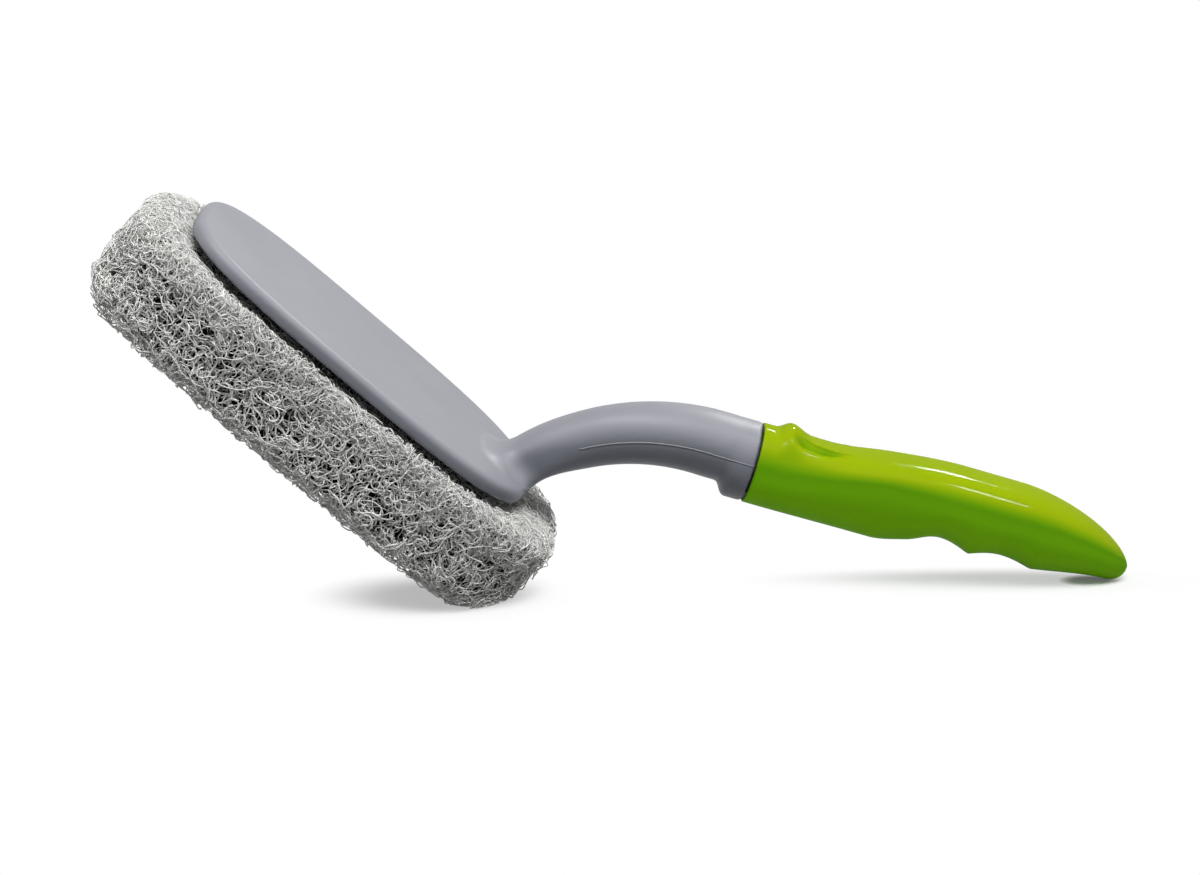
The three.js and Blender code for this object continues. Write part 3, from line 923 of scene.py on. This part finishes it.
def fibre_material():
    shader = Shader("scouring_fibre")
    patch = shader.noise(scale=90, detail=3).outputs["Fac"]
    grain = shader.noise(scale=2500, detail=2).outputs["Fac"]
    return shader.principled(
        Base_Color=shader.ramp(patch, *FIBRE_SHADES, *CLOUD_SPAN),
        Roughness=shader.span(grain, 0.4, 0.65),
        Specular_IOR_Level=0.5,
        Sheen_Weight=0.6,
    )


def painted_shade_core_material():
    """Painted shade: a dim wavering web for deeper fibres in shade, over near-black cells for the shaded
    gaps between them.
    """
    shader = Shader("scouring_core_painted_shade")
    cloud = shader.noise(scale=300, detail=2).outputs["Color"]
    bent = shader.vector("MULTIPLY", cloud, (WEB_WAVER, WEB_WAVER, WEB_WAVER))
    place = shader.node("ShaderNodeTexCoord").outputs["Object"]
    web = shader.node("ShaderNodeTexVoronoi", Vector=shader.vector("ADD", place, bent), Scale=380)
    web.feature = "DISTANCE_TO_EDGE"
    edge = web.outputs["Distance"]
    return shader.principled(
        Base_Color=shader.ramp(edge, *PAINTED_DEPTH_SHADE_COLOURS, *WEB_SPAN),
        Roughness=1.0,
        Specular_IOR_Level=0.1,
        Normal=shader.bump(edge, strength=1.0, distance=-0.002),
    )


def hook_material():
    shader = Shader("hook_plastic")
    grain = shader.noise(scale=1500, detail=2).outputs["Fac"]
    return shader.principled(
        Base_Color=shader.ramp(grain, *HOOK_SHADES),
        Roughness=shader.span(grain, 0.45, 0.65),
        Specular_IOR_Level=0.3,
    )


def head_material():
    shader = Shader("satin_grey_plastic")
    cloud = shader.noise(scale=35, detail=3).outputs["Fac"]
    grain = shader.noise(scale=4500, detail=2).outputs["Fac"]
    # Painted shade: the grey is darker where the head faces down or sideways and lighter where it faces up
    below = shader.ramp(cloud, *HEAD_PAINTED_SHADE_COLOURS, *CLOUD_SPAN)
    above = shader.ramp(cloud, *HEAD_PAINTED_LIT_COLOURS, *CLOUD_SPAN)
    return shader.principled(
        Base_Color=shader.painted_shade_by_facing(below, above, low=0.1, high=0.5),
        Roughness=shader.span(grain, 0.40, 0.52),
        Specular_IOR_Level=0.25,
        Normal=shader.bump(grain, strength=0.25, distance=0.00004),
    )


def grip_material():
    shader = Shader("glossy_green_plastic")
    cloud = shader.noise(scale=30, detail=2).outputs["Fac"]
    wave = shader.noise(scale=160, detail=1).outputs["Fac"]
    # Painted light and shade: bright green for light thrown up under the grip, a dark band of shade on the
    # flanks, a lit yellow-green crown
    under = shader.ramp(cloud, *GRIP_PAINTED_UNDERLIGHT_COLOURS, *CLOUD_SPAN)
    flank = shader.ramp(cloud, *GRIP_PAINTED_SHADE_COLOURS, *CLOUD_SPAN)
    crown = shader.ramp(cloud, *GRIP_PAINTED_LIT_CROWN_COLOURS, *CLOUD_SPAN)
    sides = shader.painted_shade_by_facing(under, flank, low=-0.5, high=0.15)
    return shader.principled(
        Base_Color=shader.painted_shade_by_facing(sides, crown, low=0.25, high=0.65),
        Roughness=shader.span(wave, 0.4, 0.5),
        Specular_IOR_Level=0.0,
        Coat_Weight=0.09,
        Coat_Roughness=0.1,
        Normal=shader.bump(wave, strength=0.2, distance=0.0001),
        Coat_Normal=shader.bump(wave, strength=0.1, distance=0.0001),
    )


# Stage

def seen_directly(nodes):
    """1 for rays that show the background: from the camera, mirrored or through glass."""
    path = nodes.node("ShaderNodeLightPath")
    total = path.outputs["Is Camera Ray"]
    for name in ("Is Glossy Ray", "Is Transmission Ray"):
        total = nodes.most(total, path.outputs[name])
    return total


def patch_share(shader, place, centre, reach, strength):
    """The strength in the middle of an oval patch of floor, falling to 0 at its edge."""
    scaled = shader.vector("DIVIDE", shader.vector("SUBTRACT", place, centre), reach)
    distance = shader.node("ShaderNodeVectorMath", Vector=scaled)
    distance.operation = "LENGTH"
    share = shader.node("ShaderNodeMapRange", Value=distance.outputs["Value"], From_Min=SHADOW_CORE)
    share.interpolation_type = "SMOOTHSTEP"
    shader.feed(share.inputs["To Min"], strength)
    shader.feed(share.inputs["To Max"], 0)
    return share.outputs["Result"]


def matt(shader, grey):
    return shader.node("ShaderNodeBsdfDiffuse", Color=(grey, grey, grey, 1)).outputs["BSDF"]


def glow(shader, strength):
    return shader.node("ShaderNodeEmission", Color=(1, 1, 1, 1), Strength=strength).outputs["Emission"]


def floor_material(grip):
    """White to the eye, with the brush's shadow in patches, and dull to the light it throws back up.

    The patches under the grip ride with it.
    """
    shader = Shader("floor")
    place = shader.node("ShaderNodeTexCoord").outputs["Object"]
    from_grip = shader.node("ShaderNodeTexCoord")
    from_grip.object = grip
    shaded = patch_share(shader, place, *PAD_SHADOW)
    for patch in (GRIP_SHADOW, TAIL_SHADOW):
        shaded = shader.most(shaded, patch_share(shader, from_grip.outputs["Object"], *patch))
    patches = shader.node("ShaderNodeAddShader")
    shader.feed(patches.inputs[0], matt(shader, FLOOR_GREY))
    shader.feed(patches.inputs[1], glow(shader, FLOOR_GLOW))
    pale = shader.blend(shaded, glow(shader, 1.0), patches.outputs["Shader"])
    surface = shader.blend(seen_directly(shader), matt(shader, FLOOR_BOUNCE), pale)
    shader.feed(shader.output.inputs["Surface"], surface)
    return shader.material


def make_floor(grip):
    mesh = bpy.data.meshes.new("floor")
    corners = [(x * FLOOR_REACH, y * FLOOR_REACH, 0) for x, y in ((-1, -1), (1, -1), (1, 1), (-1, 1))]
    mesh.from_pydata(corners, [], [(0, 1, 2, 3)])
    mesh.materials.append(floor_material(grip))
    floor = bpy.data.objects.new("floor", mesh)
    floor.location.z = -FLOOR_DROP
    bpy.context.scene.collection.objects.link(floor)


def make_world():
    """White behind the brush, and a soft light that is strongest from above."""
    world = bpy.data.worlds.new("studio")
    bpy.context.scene.world = world
    world.use_nodes = True
    nodes = Nodes(world.node_tree)
    way = nodes.node("ShaderNodeTexCoord").outputs["Generated"]
    height = nodes.node("ShaderNodeSeparateXYZ", Vector=way).outputs["Z"]
    light = nodes.node("ShaderNodeMapRange", Value=height, To_Min=SKY_AT_HORIZON, To_Max=SKY_ABOVE)
    strength = nodes.node("ShaderNodeMix", Factor=seen_directly(nodes), A=light.outputs["Result"], B=1.0)
    background = nodes.tree.nodes["Background"]
    nodes.feed(background.inputs["Color"], (1, 1, 1, 1))
    nodes.feed(background.inputs["Strength"], strength.outputs["Result"])


def area_light(name, place, target, size, power):
    light = bpy.data.lights.new(name, "AREA")
    light.shape = "RECTANGLE"
    light.size, light.size_y = size
    light.energy = power
    lamp = bpy.data.objects.new(name, light)
    lamp.location = place
    lamp.rotation_euler = (Vector(target) - Vector(place)).to_track_quat("-Z", "Y").to_euler()
    bpy.context.scene.collection.objects.link(lamp)
    return lamp


def make_lights():
    """A wide soft light from above that gloss doesn't show, and small ones that only gloss shows."""
    overhead = area_light("overhead", OVERHEAD_PLACE, OVERHEAD_TARGET, OVERHEAD_SIZE, OVERHEAD_POWER)
    overhead.visible_glossy = False
    for name, place, size, power in KICKERS:
        kicker = area_light(name, place, KICKER_TARGET, size, power)
        kicker.visible_diffuse = False


def make_camera():
    camera = bpy.data.cameras.new("camera")
    camera.sensor_width = SENSOR_WIDTH
    camera.lens = CAMERA_LENS
    viewer = bpy.data.objects.new("camera", camera)
    viewer.location = Vector(CAMERA_PLACE) * MM
    viewer.rotation_euler = (np.radians(CAMERA_TILT), 0, 0)
    bpy.context.scene.collection.objects.link(viewer)
    bpy.context.scene.camera = viewer


# The scene

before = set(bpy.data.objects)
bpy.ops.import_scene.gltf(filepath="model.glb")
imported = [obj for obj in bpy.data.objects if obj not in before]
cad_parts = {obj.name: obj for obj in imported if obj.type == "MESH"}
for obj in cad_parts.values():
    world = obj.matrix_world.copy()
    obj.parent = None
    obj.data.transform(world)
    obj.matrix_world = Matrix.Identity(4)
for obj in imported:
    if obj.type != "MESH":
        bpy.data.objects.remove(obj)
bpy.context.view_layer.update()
make_camera()
core = make_painted_shade_core(painted_shade_core_material())
make_fibres(fibre_material())
make_hook_sheet(hook_material())
grey = head_material()
make_head(grey)
make_parting_lines(grey)
grip = make_grip(grip_material())
make_floor(grip)
make_world()
make_lights()
bpy.context.scene.view_settings.view_transform = "Standard"
